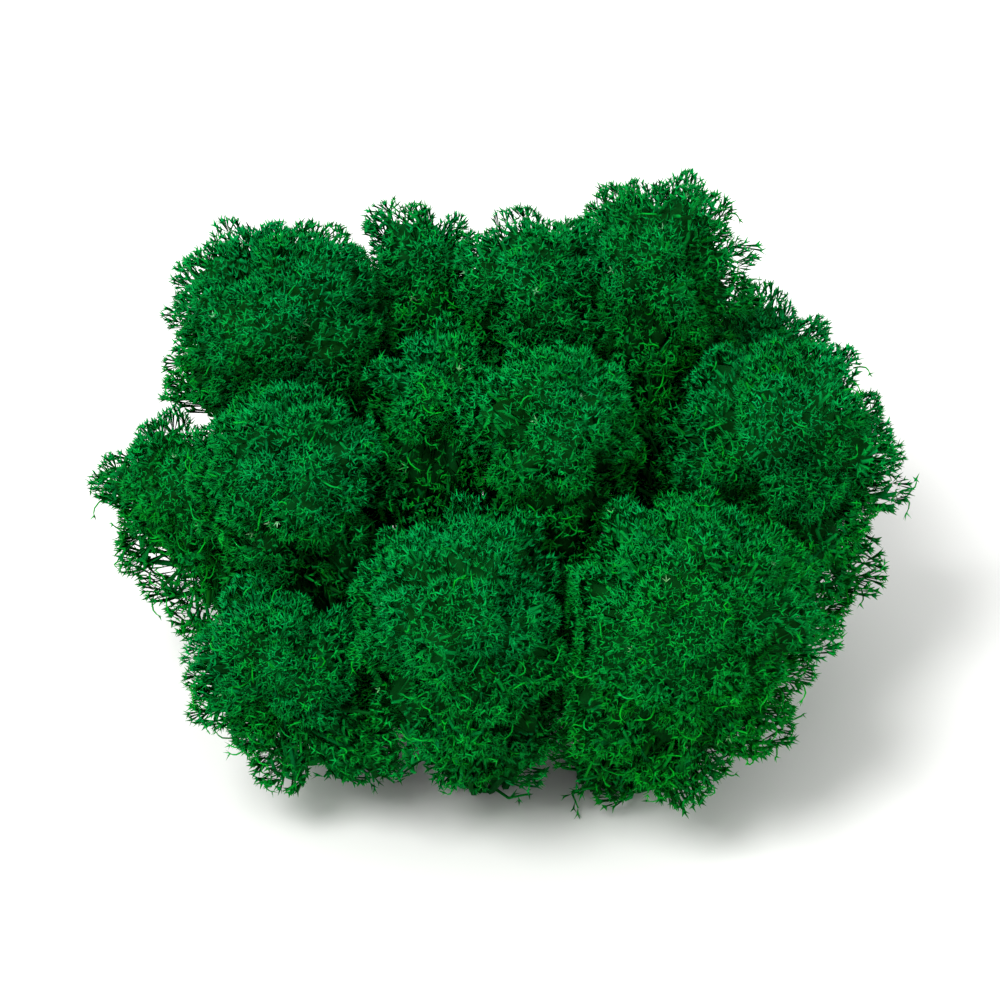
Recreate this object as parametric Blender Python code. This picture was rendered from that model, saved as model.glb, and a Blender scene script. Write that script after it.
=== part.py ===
"""Reindeer moss clump: a mound of cushion lichen tufts, each with its own round crown.

Every tuft grew as one piece: a small foot, a slim bundle of old stems and a dense crown of
forked twigs. The tufts crowd together, so each one stays inside a cell whose flat walls
lie halfway to its neighbours, and its twigs are bent clear of those walls.

Frame: metres, +Z up, the clump seen from the front looking along +Y, and the origin on the
ground under the middle of the clump.
"""
import math
import random

import bmesh
import bpy
from mathutils import Vector

MM = 0.001

# Each tuft: the middle of its crown and the crown's radius, in millimetres.
HEADS = {
    "head_01_back_left": ((-31.5, 15.0, 51.0), 16.5),
    "head_02_back_small": ((-11.0, 23.0, 56.5), 10.0),
    "head_03_back_double_left": ((4.0, 15.0, 58.0), 13.0),
    "head_04_back_double_right": ((19.5, 18.5, 57.0), 15.0),
    "head_05_middle_left": ((-29.0, -7.5, 43.0), 14.5),
    "head_06_middle_small": ((-9.5, -1.0, 51.0), 11.0),
    "head_07_middle": ((6.0, -8.0, 50.5), 13.5),
    "head_08_far_left": ((-45.0, 5.0, 30.0), 12.0),
    "head_09_front_left": ((-6.0, -30.0, 34.0), 16.0),
    "head_10_front_right": ((23.0, -29.0, 33.5), 19.0),
    "head_11_right": ((36.5, 0.5, 39.0), 18.0),
    "head_12_low_left": ((-31.0, -27.5, 25.0), 13.5),
    "head_13_rear_left": ((-22.0, 32.0, 33.0), 15.0),
    "head_14_rear_middle": ((6.0, 34.0, 34.0), 16.0),
    "head_15_rear_right": ((32.0, 26.0, 33.0), 15.0),
}

# The point under the middle of the whole clump, in millimetres, which becomes the origin.
MIDDLE = (-1.332, 0.827, 0.0)

# The tufts lean out from the clump's middle, so their feet stand closer than their crowns.
FOOT_PULL = 0.60
FLAT_SPOT_RADIUS = 23.0 * MM
FOOT_LIFT_SLOPE = 0.8

# Neighbouring tufts press together, with this much room left between them.
WALL_GAP = 0.16 * MM
CORE_INSET = 3.0 * MM

# Two crowns press together up to this share of their summed radii.
PRESSED = 1.15
MEETING_ROOT = 0.35

# The core of a tuft: height above the crown's middle, and radius, both in crown radii.
CORE_SIDES = 6
CORE_RINGS = ((-0.95, 0.16), (-0.42, 0.46), (0.04, 0.62), (0.38, 0.50))
WIDEST_RING = 2
CORE_TOP = 0.62
CORE_ROUGHNESS = 0.14

# The foot and the stalk. Radii are in crown radii, heights in shares of the tuft's height.
FOOT_RIDGE = 0.46
FOOT_GROOVE = 0.22
STALK_RADIUS = 0.14
STALK_BOTTOM = 0.22
STALK_TOP = 0.92

# Forked twigs that cover the crown. Lengths are in crown radii.
TWIG_SPACING = 9.9 * MM
TWIG_LOWEST = -0.80
TWIG_SHORTEST = 0.20
TWIG_ROOT_DEPTH = 0.5
TWIG_ROOT_WIDTH = 0.8 * MM
TWIG_FORK_WIDTH = 0.115
CUP_DEPTH = 0.3
PRONG_LENGTH = 0.23
PRONG_SPREAD = 0.30
CROWN_ROUGHNESS = 0.06

# Bare stems from the foot's ridges to the crown: share of the tuft's height, distance from
# its axis in crown radii, and width against the widest.
STEM_SPACING = 4.5 * MM
STEM_WIDTH = 1.0 * MM
STEM_PATH = ((0.04, 0.22, 1.0), (0.30, 0.56, 1.0), (0.58, 0.62, 0.85), (0.92, 0.30, 0.7))

# Forked twigs on the sides of the stems. Lengths are in crown radii.
SPRIG_STEPS = (0.15, 0.75)
SPRIG_LENGTH = 0.21
SPRIG_SIDE_LEAN = 0.6
SPRIG_RISE = (0.3, 0.8)

GROWTH_SEED = 3

CROWN_GREEN = (0.005, 0.155, 0.035)
GREEN_SPREAD = 0.18


def head_geometry():
    """Crown centre, radius and foot point of every tuft, in metres."""
    geometry = {}
    for name, (centre_mm, radius_mm) in HEADS.items():
        centre = Vector(centre_mm) * MM
        out = Vector((centre.x, centre.y)) * FOOT_PULL
        lift = max(0.0, out.length - FLAT_SPOT_RADIUS) * FOOT_LIFT_SLOPE
        foot = Vector((out.x, out.y, lift))
        geometry[name] = (centre, radius_mm * MM, foot)
    return geometry


def cell_walls(name, geometry):
    """Walls of one tuft's cell, as (point, normal away from the tuft).

    A wall stands on the line from midway between two feet to midway between two crowns,
    the latter shared in proportion to the crowns' radii.
    """
    centre, radius, foot = geometry[name]
    walls = []
    for other, (far_centre, far_radius, far_foot) in geometry.items():
        if other == name:
            continue
        across = far_centre - centre
        high = centre + across * radius / (radius + far_radius)
        low = (foot + far_foot) / 2.0
        along = (high - low).normalized()
        normal = (across - along * across.dot(along)).normalized()
        walls.append((high, normal))
    return walls


def keep_inside(point, middle, walls, gap):
    """Draw a point back towards a middle until it is a gap away from every wall."""
    share = 1.0
    step = point - middle
    for wall_point, normal in walls:
        room = (wall_point - middle).dot(normal) - gap
        reach = step.dot(normal)
        if reach > 0.0 and reach * share > room:
            share = max(0.0, room / reach)
    return middle + step * share


def sideways(direction):
    """Two unit vectors square to a direction and to each other."""
    helper = Vector((0.0, 0.0, 1.0)) if abs(direction.z) < 0.9 else Vector((1.0, 0.0, 0.0))
    first = direction.cross(helper).normalized()
    return first, direction.cross(first).normalized()


def mesh_object(name, verts, faces):
    """A closed mesh object with its faces pointing out."""
    mesh = bpy.data.meshes.new(name)
    mesh.from_pydata([tuple(v) for v in verts], [], faces)
    tidy = bmesh.new()
    tidy.from_mesh(mesh)
    bmesh.ops.recalc_face_normals(tidy, faces=tidy.faces)
    bmesh.ops.triangulate(tidy, faces=tidy.faces)
    tidy.to_mesh(mesh)
    tidy.free()
    return bpy.data.objects.new(name, mesh)


def stem_count(radius):
    """Number of stems in a tuft, which is also the number of its foot's ridges."""
    return max(3, round(radius / STEM_SPACING))


def core_mesh(name, centre, radius, foot, walls, turn, rng):
    """Inner crown of one tuft, lofted through level rings."""
    verts = []
    for height, width in CORE_RINGS:
        z = centre.z + height * radius
        middle = foot.lerp(centre, min(1.0, (z - foot.z) / (centre.z - foot.z)))
        middle.z = z
        for side in range(CORE_SIDES):
            angle = turn + math.tau * side / CORE_SIDES
            reach = width * radius * (1.0 + rng.uniform(-CORE_ROUGHNESS, CORE_ROUGHNESS))
            rim = middle + Vector((math.cos(angle), math.sin(angle), 0.0)) * reach
            verts.append(keep_inside(rim, middle, walls, CORE_INSET))
    faces = [tuple(reversed(range(CORE_SIDES)))]
    for ring in range(len(CORE_RINGS) - 1):
        for side in range(CORE_SIDES):
            here = ring * CORE_SIDES + side
            beside = ring * CORE_SIDES + (side + 1) % CORE_SIDES
            faces.append((here, beside, beside + CORE_SIDES, here + CORE_SIDES))
    verts.append(centre + Vector((0.0, 0.0, CORE_TOP * radius)))
    last_ring = (len(CORE_RINGS) - 1) * CORE_SIDES
    for side in range(CORE_SIDES):
        faces.append((last_ring + side, last_ring + (side + 1) % CORE_SIDES, len(verts) - 1))
    return mesh_object(name, verts, faces)


def foot_mesh(name, centre, radius, foot, walls, turn):
    """Flat foot with a ridge under each stem, drawn up into a slim stalk."""
    sides = 2 * stem_count(radius)
    top = foot.lerp(centre, STALK_TOP)
    knee = foot.lerp(centre, STALK_BOTTOM)
    verts = []
    for middle, ridge, groove in ((foot, FOOT_RIDGE, FOOT_GROOVE),
                                  (knee, STALK_RADIUS, STALK_RADIUS),
                                  (top, STALK_RADIUS, STALK_RADIUS)):
        for side in range(sides):
            angle = turn + math.tau * side / sides
            reach = radius * (ridge if side % 2 == 0 else groove)
            rim = middle + Vector((math.cos(angle), math.sin(angle), 0.0)) * reach
            verts.append(keep_inside(rim, middle, walls, WALL_GAP))
    faces = [tuple(reversed(range(sides))), tuple(2 * sides + side for side in range(sides))]
    for ring in range(2):
        for side in range(sides):
            here = ring * sides + side
            beside = ring * sides + (side + 1) % sides
            faces.append((here, beside, beside + sides, here + sides))
    return mesh_object(name, verts, faces)


def forked_twig(name, root, fork, prong, spread, width, spin, middle, walls):
    """A three-sided twig that widens to its fork and splits into a whorl of three prongs."""
    direction = (fork - root).normalized()
    first, second = sideways(direction)
    verts = []
    for base, base_width in ((root, TWIG_ROOT_WIDTH), (fork, width)):
        for side in range(3):
            angle = spin + math.tau * side / 3
            rim = base + (first * math.cos(angle) + second * math.sin(angle)) * base_width
            verts.append(keep_inside(rim, middle, walls, WALL_GAP))
    verts.append(fork + direction * width * CUP_DEPTH)
    for side in range(3):
        angle = spin + math.tau * (side + 0.5) / 3
        out = (first * math.cos(angle) + second * math.sin(angle)) * spread
        verts.append(keep_inside(fork + direction * prong + out, middle, walls, WALL_GAP))
    faces = [(0, 1, 2)]
    for side in range(3):
        after = (side + 1) % 3
        faces.append((side, after, after + 3, side + 3))
        faces.append((side + 3, after + 3, side + 7))
        faces.append((after + 3, 6, side + 7))
        faces.append((6, side + 3, side + 7))
    return mesh_object(name, verts, faces)


def crown_twigs(name, centre, radius, walls, rng):
    """Forked twigs spread evenly over the crown, out to its furthest tips."""
    count = round(4.0 * math.pi * radius ** 2 / TWIG_SPACING ** 2)
    golden = math.pi * (3.0 - math.sqrt(5.0))
    turn = rng.uniform(0.0, math.tau)
    core_width = CORE_RINGS[WIDEST_RING][1] * radius
    twigs = []
    for index in range(count):
        height = 1.0 - 2.0 * (index + 0.5) / count
        if height < TWIG_LOWEST:
            continue
        level = math.sqrt(1.0 - height * height)
        angle = turn + golden * index
        ray = Vector((level * math.cos(angle), level * math.sin(angle), height))
        reach = radius * (1.0 + rng.uniform(-CROWN_ROUGHNESS, CROWN_ROUGHNESS))
        free = (keep_inside(centre + ray * reach, centre, walls, WALL_GAP) - centre).length
        inner = (keep_inside(centre + ray * core_width, centre, walls, CORE_INSET) - centre).length
        if free - inner < TWIG_SHORTEST * radius:
            continue
        root = centre + ray * inner * TWIG_ROOT_DEPTH
        fork = centre + ray * max(inner, free - PRONG_LENGTH * radius)
        prong = free - (fork - centre).length
        spin = rng.uniform(0.0, math.tau)
        twigs.append(forked_twig(name, root, fork, prong, PRONG_SPREAD * radius,
                                 TWIG_FORK_WIDTH * radius, spin, centre, walls))
    return twigs


def meeting_twigs(name, tuft, geometry, walls):
    """A pointed twig to each crown that presses on this one, met there by one of its own."""
    centre, radius, foot = geometry[tuft]
    twigs = []
    for other, (far_centre, far_radius, far_foot) in geometry.items():
        across = far_centre - centre
        if other == tuft or across.length > PRESSED * (radius + far_radius):
            continue
        meeting = centre + across * radius / (radius + far_radius)
        tip = keep_inside(meeting, centre, walls, WALL_GAP)
        first, second = sideways(across.normalized())
        verts = [tip]
        for side in range(3):
            angle = math.tau * side / 3
            rim = (first * math.cos(angle) + second * math.sin(angle)) * TWIG_FORK_WIDTH * radius
            verts.append(centre.lerp(tip, MEETING_ROOT) + rim)
        twigs.append(mesh_object(name, verts, [(0, 1, 2), (0, 2, 3), (0, 3, 1), (1, 3, 2)]))
    return twigs


def bare_stem(name, points, widths):
    """A three-sided stem through a few points."""
    verts = []
    for index, point in enumerate(points):
        before = points[max(0, index - 1)]
        after = points[min(len(points) - 1, index + 1)]
        first, second = sideways((after - before).normalized())
        for side in range(3):
            angle = math.tau * side / 3
            verts.append(point + (first * math.cos(angle) + second * math.sin(angle)) * widths[index])
    faces = [(0, 1, 2), tuple(range(len(verts) - 3, len(verts)))]
    for ring in range(len(points) - 1):
        for side in range(3):
            here = ring * 3 + side
            beside = ring * 3 + (side + 1) % 3
            faces.append((here, beside, beside + 3, here + 3))
    return mesh_object(name, verts, faces)


def tuft_stems(name, centre, radius, foot, walls, turn, rng):
    """Stems that bow out of the foot's ridges up into the crown, and the twigs on them."""
    stems = []
    count = stem_count(radius)
    for index in range(count):
        angle = turn + math.tau * index / count
        out = Vector((math.cos(angle), math.sin(angle), 0.0))
        points = []
        for climb, reach, _ in STEM_PATH:
            middle = foot.lerp(centre, climb)
            wanted = middle + out * reach * radius
            points.append(keep_inside(wanted, middle, walls, WALL_GAP + STEM_WIDTH))
        widths = [STEM_WIDTH * share for _, _, share in STEM_PATH]
        stems.append(bare_stem(name, points, widths))
        stems += stem_sprigs(name, radius, points, out, walls, rng)
    return stems


def stem_sprigs(name, radius, points, out, walls, rng):
    """Forked twigs that point out and up from the middle stretch of one stem."""
    sprigs = []
    length = SPRIG_LENGTH * radius
    width = TWIG_FORK_WIDTH * radius
    along_the_rim = out.cross(Vector((0.0, 0.0, 1.0)))
    for step in SPRIG_STEPS:
        root = points[1].lerp(points[2], step)
        lean = along_the_rim * rng.uniform(-SPRIG_SIDE_LEAN, SPRIG_SIDE_LEAN)
        rise = (out + lean + Vector((0.0, 0.0, rng.uniform(*SPRIG_RISE)))).normalized()
        fork = keep_inside(root + rise * length, root, walls, WALL_GAP + width)
        if (fork - root).length > 2.0 * STEM_WIDTH:
            spin = rng.uniform(0.0, math.tau)
            sprigs.append(forked_twig(name, root, fork, length, length, width, spin, root, walls))
    return sprigs


def outer_shell(mesh):
    """Keep a mesh's outer shell: sealed hollows are filled and loose scraps dropped."""
    body = bmesh.new()
    body.from_mesh(mesh)
    shells = []
    waiting = set(body.faces)
    while waiting:
        frontier = [waiting.pop()]
        shell = list(frontier)
        while frontier:
            face = frontier.pop()
            for edge in face.edges:
                for beside in edge.link_faces:
                    if beside in waiting:
                        waiting.remove(beside)
                        frontier.append(beside)
                        shell.append(beside)
        shells.append(shell)
    shells.sort(key=len)
    for scrap in shells[:-1]:
        bmesh.ops.delete(body, geom=scrap, context="FACES")
    body.to_mesh(mesh)
    body.free()


def joined(core, pieces):
    """One Boolean union of a core with everything that grows from it."""
    scene = bpy.context.scene
    growth = bpy.data.collections.new("growth")
    scene.collection.children.link(growth)
    for piece in pieces:
        growth.objects.link(piece)
    scene.collection.objects.link(core)
    union = core.modifiers.new("union", "BOOLEAN")
    union.operation = "UNION"
    union.operand_type = "COLLECTION"
    union.collection = growth
    union.solver = "MANIFOLD"
    bpy.context.view_layer.update()
    evaluated = core.evaluated_get(bpy.context.evaluated_depsgraph_get())
    fused = bpy.data.meshes.new_from_object(evaluated)
    core.modifiers.clear()
    outer_shell(fused)
    core.data = fused
    for piece in pieces:
        bpy.data.objects.remove(piece)
    bpy.data.collections.remove(growth)
    return core


def lichen_material(name, rng):
    """Dyed green lichen, matt, each tuft a little lighter or darker."""
    shade = 1.0 + rng.uniform(-GREEN_SPREAD, GREEN_SPREAD)
    material = bpy.data.materials.new(name)
    material.use_nodes = True
    surface = material.node_tree.nodes["Principled BSDF"]
    surface.inputs["Base Color"].default_value = (*(shade * c for c in CROWN_GREEN), 1.0)
    surface.inputs["Roughness"].default_value = 0.85
    surface.inputs["Metallic"].default_value = 0.0
    return material


def main():
    for old in list(bpy.data.objects):
        bpy.data.objects.remove(old)
    geometry = head_geometry()
    for number, (name, (centre, radius, foot)) in enumerate(geometry.items(), start=1):
        rng = random.Random(100 * GROWTH_SEED + number)
        turn = rng.uniform(0.0, math.tau)
        walls = cell_walls(name, geometry)
        core = core_mesh(name, centre, radius, foot, walls, turn, rng)
        growth = [foot_mesh(f"{name}_foot", centre, radius, foot, walls, turn)]
        growth += crown_twigs(f"{name}_twig", centre, radius, walls, rng)
        growth += meeting_twigs(f"{name}_meeting", name, geometry, walls)
        growth += tuft_stems(f"{name}_stem", centre, radius, foot, walls, turn, rng)
        tuft = joined(core, growth)
        tuft.location = -Vector(MIDDLE) * MM
        tuft.data.materials.clear()
        tuft.data.materials.append(lichen_material(f"{name}_lichen", rng))


main()
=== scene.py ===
# %% [markdown]
# # Reindeer moss clump
# Reindeer moss is a cushion lichen. What florists sell is picked clean, soaked in glycerine
# and green dye, and stays soft for years. A clump is a crowd of tufts, and each tuft forks
# again and again, four ways at a time, until its thousands of tips close into a round crown.
#
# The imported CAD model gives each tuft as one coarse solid. This script keeps those places
# and sizes, and grows every tuft again with its real, fine branching.

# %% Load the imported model
import math

import bmesh
import bpy
import numpy as np
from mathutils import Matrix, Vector


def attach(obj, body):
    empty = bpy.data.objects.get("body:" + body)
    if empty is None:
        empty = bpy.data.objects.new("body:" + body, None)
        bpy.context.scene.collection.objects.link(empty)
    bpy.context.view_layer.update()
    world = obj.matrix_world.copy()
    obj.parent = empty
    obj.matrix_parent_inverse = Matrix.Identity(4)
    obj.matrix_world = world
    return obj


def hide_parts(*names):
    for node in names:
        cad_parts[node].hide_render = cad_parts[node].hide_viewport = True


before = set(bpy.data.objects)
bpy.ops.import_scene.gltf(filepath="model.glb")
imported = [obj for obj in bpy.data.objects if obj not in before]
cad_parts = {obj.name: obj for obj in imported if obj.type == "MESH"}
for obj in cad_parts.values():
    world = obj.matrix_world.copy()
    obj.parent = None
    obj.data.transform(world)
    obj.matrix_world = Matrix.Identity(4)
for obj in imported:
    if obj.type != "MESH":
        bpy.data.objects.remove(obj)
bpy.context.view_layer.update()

MM = 0.001
bpy.ops.object.select_all(action="DESELECT")

# %% [markdown]
# The crowns are the driving sizes of the clump. Each line gives the middle of a crown and
# its radius, the same as in the CAD model. The tufts lean out from the clump's middle, so
# a foot stands closer in than its crown, and the outermost feet are a little off the ground.

# %% Place the crowns and the feet
CROWNS = {
    "head_01_back_left": ((-31.5, 15.0, 51.0), 16.5),
    "head_02_back_small": ((-11.0, 23.0, 56.5), 10.0),
    "head_03_back_double_left": ((4.0, 15.0, 58.0), 13.0),
    "head_04_back_double_right": ((19.5, 18.5, 57.0), 15.0),
    "head_05_middle_left": ((-29.0, -7.5, 43.0), 14.5),
    "head_06_middle_small": ((-9.5, -1.0, 51.0), 11.0),
    "head_07_middle": ((6.0, -8.0, 50.5), 13.5),
    "head_08_far_left": ((-45.0, 5.0, 30.0), 12.0),
    "head_09_front_left": ((-6.0, -30.0, 34.0), 16.0),
    "head_10_front_right": ((23.0, -29.0, 33.5), 19.0),
    "head_11_right": ((36.5, 0.5, 39.0), 18.0),
    "head_12_low_left": ((-31.0, -27.5, 25.0), 13.5),
    "head_13_rear_left": ((-22.0, 32.0, 33.0), 15.0),
    "head_14_rear_middle": ((6.0, 34.0, 34.0), 16.0),
    "head_15_rear_right": ((32.0, 26.0, 33.0), 15.0),
}
MIDDLE = np.array((-1.332, 0.827, 0.0)) * MM
FOOT_PULL = 0.60                 # of the crown's distance from the clump's middle
FLAT_SPOT_RADIUS = 23.0 * MM     # feet further out than this are off the ground
FOOT_LIFT_SLOPE = 0.8


def tuft_places():
    """Crown middle, crown radius and foot point of every tuft, in metres."""
    places = {}
    for node, (centre_mm, radius_mm) in CROWNS.items():
        centre = np.array(centre_mm) * MM
        foot = centre * (FOOT_PULL, FOOT_PULL, 0.0)
        foot[2] = max(0.0, np.linalg.norm(foot) - FLAT_SPOT_RADIUS) * FOOT_LIFT_SLOPE
        places[node] = (centre - MIDDLE, radius_mm * MM, foot - MIDDLE)
    return places


PLACES = tuft_places()
widest = max(radius for _, radius, _ in PLACES.values())
print("tufts:", len(PLACES), "widest crown, mm:", round(2.0 * widest / MM, 1))

# %% [markdown]
# Neighbouring tufts press on each other, and their twigs give way instead of crossing. Two
# tufts meet at a wall between them, nearer to the smaller one, as in the CAD model. Here it
# runs in soft waves, because real tufts don't meet in a plane. A wall only counts where the
# neighbour really stands behind it, so each tuft is also filled with a column of balls, and a
# twig that passes a wall is bent back only if it would come into one of them. Everywhere else
# the crowns stay round.

# %% Set walls between the tufts
WALL_WAVE = 0.9 * MM
WALL_WAVELENGTH = 11.0 * MM
WALL_WAVES = 4
WALL_WAVE_SPREAD = 0.6
WALL_SEED = 5
BALLS_IN_TUFT = 7
BALL_PROFILE = ((0.0, 0.45), (0.55, 0.85), (1.0, 1.0))     # (climb, share of the crown's radius)
BALL_MARGIN = 1.2 * MM


def unit(vectors):
    """The same vectors, each one unit long."""
    return vectors / np.maximum(np.linalg.norm(vectors, axis=-1, keepdims=True), 1e-12)


def tuft_balls(node):
    """Middles and radii of the balls that fill a tuft, from its foot to its crown."""
    centre, radius, foot = PLACES[node]
    climb = np.linspace(0.0, 1.0, BALLS_IN_TUFT)
    radii = np.interp(climb, *zip(*BALL_PROFILE)) * radius + BALL_MARGIN
    return foot + (centre - foot) * climb[:, None], radii


def wall_wave(points):
    """How far a wall is pushed out of its plane at some points, the same from both sides."""
    rng = np.random.default_rng(WALL_SEED)
    waves = rng.normal(0.0, math.tau / WALL_WAVELENGTH, (WALL_WAVES, 3)) * WALL_WAVE_SPREAD
    sines = np.sin(points @ waves.T + np.arange(WALL_WAVES))
    return WALL_WAVE * sines.sum(1) / math.sqrt(WALL_WAVES)


def neighbours_of(node):
    """For each other tuft: a point on the wall, its normal, the way that the wall's waves
    count from this side, and the tuft's balls."""
    centre, radius, foot = PLACES[node]
    found = []
    for other, (far_centre, far_radius, far_foot) in PLACES.items():
        if other == node:
            continue
        across = far_centre - centre
        high = centre + across * radius / (radius + far_radius)
        along = unit(high - (foot + far_foot) / 2.0)
        normal = unit(across - along * (across @ along))
        side = 1.0 if node < other else -1.0
        found.append((high, normal, side, *tuft_balls(other)))
    return found


print("neighbours of each tuft:", len(neighbours_of("head_07_middle")))

# %% [markdown]
# Two helpers use the walls. The first tells how far a twig may grow before a neighbour is in
# its way. The second pushes back what still comes through in the end, such as the side of a
# thick twig that runs along a wall.

# %% Keep twigs off the neighbours
WALL_GAP = 0.2 * MM
LONGEST_REACH = 100.0 * MM
FARTHEST_WALL = 200.0 * MM


def room_along(start, rays, neighbours, gap):
    """How far each ray can go from a start before a neighbour is in its way."""
    free = np.full(len(rays), np.inf)
    for wall_point, normal, side, middles, radii in neighbours:
        towards = np.maximum(rays @ normal, 1e-6)
        room = (wall_point - start) @ normal - gap
        near = start + rays * np.minimum(room / towards, LONGEST_REACH)[:, None]
        wall = np.maximum((room + side * wall_wave(near)) / towards, 0.0)
        crossing = wall < FARTHEST_WALL
        for middle, radius in zip(middles, radii + gap):
            beside = (middle - start) @ rays[crossing].T
            depth = beside ** 2 - (middle - start) @ (middle - start) + radius ** 2
            half = np.sqrt(np.maximum(depth, 0.0))
            hit = (depth > 0.0) & (beside + half > wall[crossing])
            entry = np.where(hit, np.maximum(beside - half, wall[crossing]), np.inf)
            free[crossing] = np.minimum(free[crossing], entry)
    return free


def bend_clear(points, neighbours, ground):
    """Push points that come into a neighbour straight back to the wall, or to the ground."""
    for wall_point, normal, side, middles, radii in neighbours:
        past = (points - wall_point) @ normal + WALL_GAP - side * wall_wave(points)
        far = np.nonzero(past > 0.0)[0]
        apart = np.linalg.norm(points[far, None] - middles[None], axis=2) - radii
        inside = far[apart.min(1) < WALL_GAP]
        points[inside] -= past[inside, None] * normal
    points[:, 2] = np.maximum(points[:, 2], ground)
    return points


trial_ways = np.array(((1.0, 0.0, 0.0), (0.0, 0.0, 1.0)))
trial_walls = neighbours_of("head_07_middle")
trial_room = room_along(PLACES["head_07_middle"][0], trial_ways, trial_walls, WALL_GAP)
print("room to the right of the middle crown and above it, mm:", np.round(trial_room / MM, 1))

# %% [markdown]
# Every twig is modelled as by hand: start with a primitive, go into edit mode, select a face
# and extrude it. A script can't point at a face, so it selects faces by where their middle is
# and which way they look. The finished shape is taken out of Blender as its points and
# triangles, because it will be copied thousands of times.

# %% Write down the moves of the hand
def select_faces(obj, wanted):
    """Select just the faces that a test on (middle, normal) accepts, in edit mode."""
    bpy.ops.mesh.select_mode(type="FACE")
    bpy.ops.mesh.select_all(action="DESELECT")
    body = bmesh.from_edit_mesh(obj.data)
    for face in body.faces:
        face.select = wanted(face.calc_center_median(), face.normal)
    body.select_flush(True)
    bmesh.update_edit_mesh(obj.data)


def extrude(step):
    """Extrude the selection by a step in metres."""
    bpy.ops.mesh.extrude_region_move(TRANSFORM_OT_translate={"value": tuple(step)})


def start_cone(name, sides, foot_radius, top_radius, height, top="NGON"):
    """A cone or a prism that stands on the origin, in edit mode."""
    bpy.ops.object.select_all(action="DESELECT")
    bpy.ops.mesh.primitive_cone_add(
        vertices=sides, radius1=foot_radius, radius2=top_radius, depth=height,
        end_fill_type=top, location=(0.0, 0.0, height / 2.0))
    started = bpy.context.object
    started.name = name
    bpy.ops.object.transform_apply(location=True, rotation=True, scale=True)
    bpy.ops.object.mode_set(mode="EDIT")
    return started


def lift_shape(obj):
    """Finish edit mode, and return the shape's points and triangles; the object goes."""
    bpy.ops.mesh.select_all(action="SELECT")
    bpy.ops.mesh.normals_make_consistent(inside=False)
    bpy.ops.mesh.quads_convert_to_tris(quad_method="FIXED", ngon_method="CLIP")
    bpy.ops.object.mode_set(mode="OBJECT")
    points = np.empty(len(obj.data.vertices) * 3)
    obj.data.vertices.foreach_get("co", points)
    triangles = np.array([tuple(face.vertices) for face in obj.data.polygons])
    mesh = obj.data
    bpy.data.objects.remove(obj)
    bpy.data.meshes.remove(mesh)
    # Edit mode can store faces in another order in each run. So each triangle starts at its
    # first point, which doesn't turn it round, and then they are sorted.
    turn = (triangles.argmin(1)[:, None] + np.arange(3)) % 3
    triangles = np.take_along_axis(triangles, turn, 1)
    return points.reshape(-1, 3), triangles[np.lexsort(triangles.T[::-1])]


trial_cone = lift_shape(start_cone("trial_cone", 3, 0.0, 1.0, 1.0))
print("points and triangles in a plain cone:", len(trial_cone[0]), len(trial_cone[1]))

# %% [markdown]
# The last twigs of this lichen stand in whorls: a short stem opens into a ring of three or
# four pointed tips round a small hole, like a star. A whorl starts as a cone that stands on
# its point. Its top is a fan with one face for each tip. Each of them is extruded out and up
# and drawn to a point, and the middle of the fan is lowered to make the hole. There will be
# tens of thousands of whorls, so each has only 12 or 16 triangles.

# %% Model a whorl of tips
STEM_TOP = 1.0 * MM
FORK_WIDTH = 0.155 * MM
FORK_HOLE = 0.16 * MM
TIP_OUT = 0.50 * MM
TIP_UP = 0.56 * MM
FACES_UP = 0.98
SAME_WAY = 0.9


def model_whorl(tips):
    """A stem one millimetre tall with a ring of pointed tips."""
    whorl = start_cone(f"whorl_of_{tips}", tips, 0.0, FORK_WIDTH, STEM_TOP, "TRIFAN")
    for side in range(tips):
        # A cone's first corner is on the Y axis, so its sides face halfway to the next.
        angle = math.pi / 2.0 + math.tau * (side + 0.5) / tips
        out = np.array((math.cos(angle), math.sin(angle), 0.0))
        select_faces(whorl, lambda middle, normal: bool(
            normal.z > FACES_UP and out[:2] @ middle.xy > SAME_WAY * middle.xy.length))
        extrude(out * TIP_OUT + np.array((0.0, 0.0, TIP_UP)))
        bpy.ops.mesh.merge(type="CENTER")
    bpy.ops.mesh.select_mode(type="VERT")
    bpy.ops.mesh.select_all(action="DESELECT")
    body = bmesh.from_edit_mesh(whorl.data)
    for corner in body.verts:
        corner.select = corner.co.xy.length < FORK_WIDTH / 10.0 and corner.co.z > STEM_TOP / 2.0
    bmesh.update_edit_mesh(whorl.data)
    bpy.ops.transform.translate(value=(0.0, 0.0, -FORK_HOLE))
    return lift_shape(whorl)


WHORLS = [model_whorl(3), model_whorl(4)]
print("triangles in a whorl:", [len(triangles) for _, triangles in WHORLS])

# %% [markdown]
# The twigs between the forks are round, tapered and never quite straight. Three more shapes
# serve for all of them: a twig with one knee, a curl with three, and a stem with five. Each
# starts as a short prism one unit in radius, which is extruded upwards ring by ring until it
# is one unit tall. Every copy is bent along its own path and given its own width afterwards.

# %% Model a twig, a curl and a stem
TWIG_SIDES = 3
TWIG_RINGS = 2
CURL_RINGS = 4
STEM_SIDES = 4
STEM_RINGS = 6


def model_stem(name, sides, rings):
    """A straight stem, one unit tall, with evenly spaced rings to bend at."""
    stem = start_cone(name, sides, 1.0, 1.0, 1.0 / rings)
    for _ in range(rings - 1):
        select_faces(stem, lambda middle, normal: normal.z > FACES_UP)
        extrude((0.0, 0.0, 1.0 / rings))
    return lift_shape(stem)


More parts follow.
